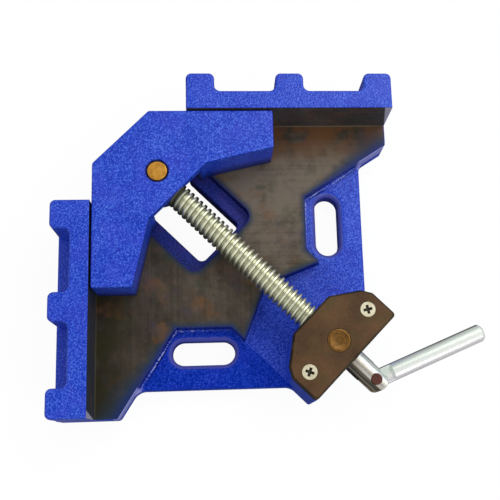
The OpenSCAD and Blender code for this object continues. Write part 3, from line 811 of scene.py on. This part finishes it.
def softenEdges(piece, widest, segments, widthAt):
    mesh = piece.data
    faces = edgeFaces(mesh)
    sharp = math.radians(meshLook["sharp"])
    weights = mesh.attributes.get("bevel_weight_edge")
    if not weights:
        weights = mesh.attributes.new("bevel_weight_edge", "FLOAT", "EDGE")
    for edge in mesh.edges:
        pair = faces.get(edge.key, [])
        weight = 0.0
        if len(pair) == 2 and pair[0].normal.angle(pair[1].normal, 0) > sharp:
            place = (mesh.vertices[edge.vertices[0]].co + mesh.vertices[edge.vertices[1]].co) / 2
            weight = min(widthAt(place, pair[0].normal, pair[1].normal) / widest, 1)
        weights.data[edge.index].value = weight
    useModifier(piece, "BEVEL", "softEdge", width=widest * mm, segments=segments, limit_method="WEIGHT",
                use_clamp_overlap=False, loop_slide=True)


def softenAlike(piece, width, segments):
    softenEdges(piece, width, segments, lambda place, normalA, normalB: width)


def smoothFaces(piece, angle=meshLook["smooth"]):
    only(piece)
    bpy.ops.object.shade_smooth_by_angle(angle=math.radians(angle))
    useModifier(piece, "WEIGHTED_NORMAL", "evenShade", keep_sharp=True, weight=meshLook["weight"])


def useMaterials(piece, materials, choose=None):
    piece.data.materials.clear()
    for material in materials:
        piece.data.materials.append(material)
    for face in piece.data.polygons:
        face.material_index = choose(face.center, face.normal) if choose else 0


def placeOnBody(piece, body, slot, *replaced):
    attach(piece, body)
    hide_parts(*replaced)
    print(piece.name + ":", len(piece.data.polygons), "faces")


# base casting: the solid with rounded cast edges, bare where it was machined
baseLook = {
    "castEdge": 1.3, "segments": 3, "machinedEdge": 0.3, "footEdge": 0.8, "reach": 0.25,
    "fade": 9,  # mm over which an edge dies out where a pad's fillet runs into a wall
    "rootPoints": ((19.1, 150.7), (106.2, 149.3)),  # mm, the ends of those fillets
    "ledgeHalf": 23.5, "ledgeEnd": 98.0,  # mm, the sunk ledge round the opening
    "slotHalfWidth": 9.2, "slotHalfLength": 19.7,  # mm, a slot with its rim
    "ribFoot": -10.5,  # mm, behind the fence wall
    "wedge": (102, 146), "wedgeReach": 12,  # mm, there a pad is too narrow for rounded edges
    "padReach": 2.3,  # mm, how far the painted shade of one pad reaches up and down
    "flatArea": 40, "flat": 0.999,  # mm2 and upright share of the normal, for flat faces that are split
    "close": 0.02,  # mm, slack for faces in the machined planes
    "square": 0.95, "topward": 0.9, "steep": 0.3, "under": -0.5,  # shares of a face's normal
}


def isMachined(place, normal, slack):
    square = baseLook["square"]
    onBed = abs(place.z - bedHeight) < slack and normal.z > square and min(place.x, place.y) > -slack
    alongX = abs(place.y) < slack and normal.y > square and place.z > bedHeight - slack
    alongY = abs(place.x) < slack and normal.x > square and place.z > bedHeight - slack
    return onBed or alongX or alongY


def rootFade(place):
    u, v = max(place.x, place.y), min(place.x, place.y)
    nearest = min(math.hypot(u - far * mm, v - near * mm) for near, far in baseLook["rootPoints"])
    return min(nearest / (baseLook["fade"] * mm), 1)


def baseEdgeWidth(place, normalA, normalB):
    slack = baseLook["reach"] * mm
    bareA, bareB = isMachined(place, normalA, slack), isMachined(place, normalB, slack)
    if bareA and bareB:
        return 0.0
    if bareA or bareB:
        return baseLook["machinedEdge"]
    if place.z < slack:
        return baseLook["footEdge"]
    fromWedge = math.hypot(min(place.x, place.y) - baseLook["wedge"][0] * mm,
                           max(place.x, place.y) - baseLook["wedge"][1] * mm)
    if abs(place.z - padHeight) < slack and fromWedge < baseLook["wedgeReach"] * mm:
        return 0.0
    if abs(place.z - padHeight) < slack:
        return baseLook["castEdge"] * rootFade(place)
    behindFence = min(place.x, place.y) < baseLook["ribFoot"] * mm
    if abs(place.z - bedHeight) < slack and behindFence and max(normalA.z, normalB.z) > baseLook["topward"]:
        return 0.0
    return baseLook["castEdge"]


def baseMaterial(place, normal):
    close, steep = baseLook["close"] * mm, normal.z < baseLook["steep"]
    if isMachined(place, normal, close):
        return 1
    if normal.z < baseLook["under"] or place.z > bedHeight - close:
        return 0
    along, across = place.dot(alongScrew), abs(place.dot(acrossScrew))
    # the sunk ledge and the slots' walls take painted shade, the opening's walls a darker painted shade
    if along < baseLook["ledgeEnd"] * mm and across < baseLook["ledgeHalf"] * mm:
        return 3 if steep else 2
    u, v = max(place.x, place.y), min(place.x, place.y)
    inSlot = (abs(u - bedLook["slotReach"] * mm) < baseLook["slotHalfWidth"] * mm
              and abs(v - bedLook["slotMid"] * mm) < baseLook["slotHalfLength"] * mm)
    if inSlot and steep:
        return 2
    # the pad on the X side takes painted shade
    onPad = abs(place.z - padHeight) < baseLook["padReach"] * mm and normal.z > baseLook["steep"]
    return 4 if onPad and place.dot(acrossScrew) < 0 else 0


def splitFlats(piece, cuts):
    for place, way in cuts:
        only(piece)
        bpy.context.tool_settings.mesh_select_mode = (False, False, True)
        bpy.ops.object.mode_set(mode="EDIT")
        bpy.ops.mesh.select_all(action="DESELECT")
        bpy.ops.object.mode_set(mode="OBJECT")
        for face in piece.data.polygons:
            level = abs(face.normal.z) > baseLook["flat"]
            face.select = level and face.area > baseLook["flatArea"] * mm * mm
        bpy.ops.object.mode_set(mode="EDIT")
        bpy.ops.mesh.bisect(plane_co=place, plane_no=way)
        bpy.ops.object.mode_set(mode="OBJECT")


slotMiddle = bedLook["slotMid"] * mm
flatCuts = (((0, 0, 0), acrossScrew), ((slotMiddle, 0, 0), (1, 0, 0)), ((0, slotMiddle, 0), (0, 1, 0)))
baseCasting = copyOfNode("base_casting", "baseCasting")
splitFlats(baseCasting, flatCuts)  # so that no flat face has a hole in it when its edges are rounded
softenEdges(baseCasting, baseLook["castEdge"], baseLook["segments"], baseEdgeWidth)
useMaterials(baseCasting, (castBlue, bareIron, sunkShadeBlue, shadeBlue, padShadeBlue), baseMaterial)
smoothFaces(baseCasting)
placeOnBody(baseCasting, "base", "blue_casting", "base_casting")


# moving jaw
jawLook = {
    "edge": 1.0, "segments": 3, "footEdge": 0.5, "foot": 1.5, "holeEdge": 0.9, "holeRadius": 6.9,
    "mouthDrop": 6, "mouthEnd": 64.5, "mouthHalf": 18,  # mm, the hollow that the screw enters
    "level": 0.97, "steep": 0.2,  # shares of a face's normal
}


def isByHole(place):
    return math.hypot(place.x - trunnionMiddle.x, place.y - trunnionMiddle.y) < jawLook["holeRadius"] * mm


def jawEdgeWidth(place, normalA, normalB):
    if isByHole(place):
        return jawLook["holeEdge"]
    along, across = place.dot(alongScrew), abs(place.dot(acrossScrew))
    inside = along < jawLook["mouthEnd"] * mm and across < jawLook["mouthHalf"] * mm
    inside = inside and place.z < coverTop - jawLook["mouthDrop"] * mm
    if inside or place.z < bedHeight + jawLook["foot"] * mm:
        return jawLook["footEdge"]
    return jawLook["edge"]


def jawMaterial(place, normal):
    if isByHole(place) and normal.z < jawLook["level"]:
        return 1
    # steep faces take the sides' painted shade
    return 2 if normal.z < jawLook["steep"] else 0


movingJaw = copyOfNode("moving_jaw", "movingJaw")
softenEdges(movingJaw, jawLook["edge"], jawLook["segments"], jawEdgeWidth)
useMaterials(movingJaw, (bluePaint, shadeBlue, jawShadedSideBlue), jawMaterial)
smoothFaces(movingJaw)
placeOnBody(movingJaw, "jaw", "blue_jaw", "moving_jaw")


# small pieces that keep the solid's shape with broken edges
edgeLook = {  # width in mm and segments
    "nutCover": (0.25, 2), "jawTrunnion": (0.5, 2), "handleBar": (0.35, 2), "handleRivet": (0.45, 3),
    "thrustWasher": (0.15, 2), "endWasher": (0.15, 2), "retainingRing": (0.15, 2),
}
topward = 0.9  # share of a face's normal, a second finish (the cover's painted shade) is for the faces below it
smallPieces = (  # node, name, body, slot, finishes
    ("nut_cover", "nutCover", "base", "brown_cover", (brownPlate, brownSideShade)),
    ("jaw_trunnion", "jawTrunnion", "carriage", "bronze", (goldBronze,)),
    ("handle_bar", "handleBar", "handle", "plated_steel", (handleZinc,)),
    ("handle_rivet", "handleRivet", "screw", "rivet", (rivetBrown,)),
    ("thrust_washer", "thrustWasher", "carriage", "plated_steel", (headZinc,)),
    ("end_washer", "endWasher", "carriage", "plated_steel", (headZinc,)),
    ("retaining_ring", "retainingRing", "screw", "plated_steel", (headZinc,)),
)
for node, name, body, slot, finishes in smallPieces:
    piece = copyOfNode(node, name)
    softenAlike(piece, *edgeLook[name])
    useMaterials(piece, finishes, lambda place, normal: 0 if normal.z > topward else len(finishes) - 1)
    smoothFaces(piece)
    placeOnBody(piece, body, slot, node)


# swivel nut: the upper journal's end is turned to a shallow dish
nutLook = {
    "edge": 0.5, "segments": 2, "rim": 1.3, "slope": 1.6, "dish": 0.7, "centre": 1.6, "lift": 0.25,
    "close": 0.01, "level": 0.99,  # mm from the top and share of the normal, for the end's flat
}


def dishTop(piece, look):
    only(piece)
    top = max(vertex.co.z for vertex in piece.data.vertices)
    for face in piece.data.polygons:
        face.select = face.normal.z > look["level"] and abs(face.center.z - top) < look["close"] * mm
    bpy.ops.object.mode_set(mode="EDIT")
    bpy.ops.mesh.select_mode(type="FACE")
    bpy.ops.mesh.inset(thickness=look["rim"] * mm, depth=0)
    bpy.ops.mesh.inset(thickness=look["slope"] * mm, depth=-look["dish"] * mm)
    bpy.ops.mesh.inset(thickness=look["centre"] * mm, depth=look["lift"] * mm)
    bpy.ops.object.mode_set(mode="OBJECT")


swivelNut = copyOfNode("swivel_nut", "swivelNut")
softenAlike(swivelNut, nutLook["edge"], nutLook["segments"])
dishTop(swivelNut, nutLook)
useMaterials(swivelNut, (amberBronze,))
smoothFaces(swivelNut)
placeOnBody(swivelNut, "nut", "bronze", "swivel_nut")


# lead screw: a helical ridge on a round core, with the solid's own spigot and forked tail
threadLook = {
    "outer": 14.0, "root": 10.9, "pitch": 3.175, "crest": 1.1, "foot": 2.05,
    "start": 58.9, "end": 189.3, "sunk": 0.25, "crestEdge": 0.12, "edge": 0.3, "lap": 0.2, "weld": 0.001,
    "steps": 36, "coreSides": 64, "segments": 2, "sharp": 40, "smooth": 25,  # the last two in degrees
}


def screwPart(name, cutAlong, keepRear):
    piece = copyOfNode("lead_screw", name)
    startEdit(piece)
    bpy.ops.mesh.bisect(plane_co=alongScrew * cutAlong * mm, plane_no=alongScrew, use_fill=True,
                        clear_inner=keepRear, clear_outer=not keepRear)
    endEdit()
    softenAlike(piece, threadLook["edge"], threadLook["segments"])
    return piece


def settle(piece):
    turn = Matrix.Rotation(math.radians(screwTurn), 4, "Z")
    piece.matrix_world = Matrix.Translation((0, 0, screwHeight)) @ turn
    only(piece)
    bpy.ops.object.transform_apply(location=True, rotation=True, scale=True)


def threadCore(look):
    length = (look["end"] - look["start"]) * mm
    bpy.ops.object.select_all(action="DESELECT")
    bpy.ops.mesh.primitive_cylinder_add(
        vertices=look["coreSides"], radius=look["root"] / 2 * mm, depth=length,
        location=((look["start"] + look["end"]) / 2 * mm, 0, 0), rotation=(0, math.pi / 2, 0))
    core = bpy.context.object
    bpy.ops.object.transform_apply(location=True, rotation=True, scale=True)
    settle(core)
    return core


def threadRidge(look):
    turns = int((look["end"] - look["start"]) / look["pitch"])
    bpy.ops.object.select_all(action="DESELECT")
    bpy.ops.mesh.primitive_plane_add(size=1)
    ridge = bpy.context.object
    low = (look["root"] / 2 - look["sunk"]) * mm
    high = look["outer"] / 2 * mm
    foot, crest = look["foot"] / 2, look["crest"] / 2
    corners = ((-foot, low), (foot, low), (-crest, high), (crest, high))
    for vertex, (x, z) in zip(ridge.data.vertices, corners):
        vertex.co = (x * mm + (look["start"] + foot) * mm, 0, z)
    startEdit(ridge)
    bpy.ops.mesh.delete(type="ONLY_FACE")
    endEdit()
    useModifier(ridge, "SCREW", "winding", axis="X", angle=2 * math.pi, screw_offset=look["pitch"] * mm,
                iterations=turns, steps=look["steps"], render_steps=look["steps"], use_merge_vertices=True,
                merge_threshold=look["weld"] * mm)
    startEdit(ridge)
    bpy.ops.mesh.fill_holes(sides=4)
    bpy.ops.mesh.select_all(action="SELECT")
    bpy.ops.mesh.normals_make_consistent(inside=False)
    endEdit()
    settle(ridge)
    useModifier(ridge, "BEVEL", "crestEdge", width=look["crestEdge"] * mm, segments=1, limit_method="ANGLE",
                angle_limit=math.radians(look["sharp"]))
    return ridge


screwParts = [
    screwPart("leadScrew", threadLook["end"] - threadLook["lap"], True),
    screwPart("screwSpigot", threadLook["start"] + threadLook["lap"], False),
    threadCore(threadLook),
    threadRidge(threadLook),
]
bpy.ops.object.select_all(action="DESELECT")
for part in screwParts:
    part.select_set(True)
leadScrew = screwParts[0]
bpy.context.view_layer.objects.active = leadScrew
bpy.ops.object.join()
useMaterials(leadScrew, (screwZinc,))
smoothFaces(leadScrew, threadLook["smooth"])
placeOnBody(leadScrew, "screw", "plated_steel", "lead_screw")


# cover screws: countersunk heads with a cross recess
headLook = {
    "length": 6.2, "width": 1.9, "depth": 1.5, "taper": 0.55, "turns": (12, -20), "span": 44.4,
    "edge": 0.15, "segments": 2, "crossShadeRadius": 2.7, "crossShadeStart": 0.1, "crossShadeDepth": 1.8,
}


def crossRecess(look, place, turn):
    bars = []
    for step in (0, 90):
        bpy.ops.object.select_all(action="DESELECT")
        bpy.ops.mesh.primitive_cube_add(size=1)
        bar = bpy.context.object
        for vertex in bar.data.vertices:
            narrow = look["taper"] if vertex.co.z < 0 else 1
            vertex.co.x *= look["length"] * narrow * mm
            vertex.co.y *= look["width"] * narrow * mm
            vertex.co.z *= 2 * look["depth"] * mm
        bar.data.transform(Matrix.Translation(place) @ Matrix.Rotation(math.radians(turn + step), 4, "Z"))
        bars.append(bar)
    return bars


headPlaces = [Vector((nutMiddle.x, nutMiddle.y, coverTop)) + acrossScrew * side * headLook["span"] / 2 * mm
              for side in (1, -1)]


def headMaterial(place, normal):
    # painted shade inside the cross recesses
    deep = headLook["crossShadeStart"] * mm < coverTop - place.z < headLook["crossShadeDepth"] * mm
    nearest = min(math.hypot(place.x - head.x, place.y - head.y) for head in headPlaces)
    return 1 if deep and nearest < headLook["crossShadeRadius"] * mm else 0


coverScrews = copyOfNode("cover_screws", "coverScrews")
for headPlace, turn in zip(headPlaces, headLook["turns"]):
    for bar in crossRecess(headLook, headPlace, turn):
        useModifier(coverScrews, "BOOLEAN", "recess", object=bar, operation="DIFFERENCE", solver="EXACT")
        bpy.data.objects.remove(bar)
softenAlike(coverScrews, headLook["edge"], headLook["segments"])
useMaterials(coverScrews, (headZinc, crossShade), headMaterial)
smoothFaces(coverScrews)
placeOnBody(coverScrews, "base", "plated_steel", "cover_screws")


print("pieces done")
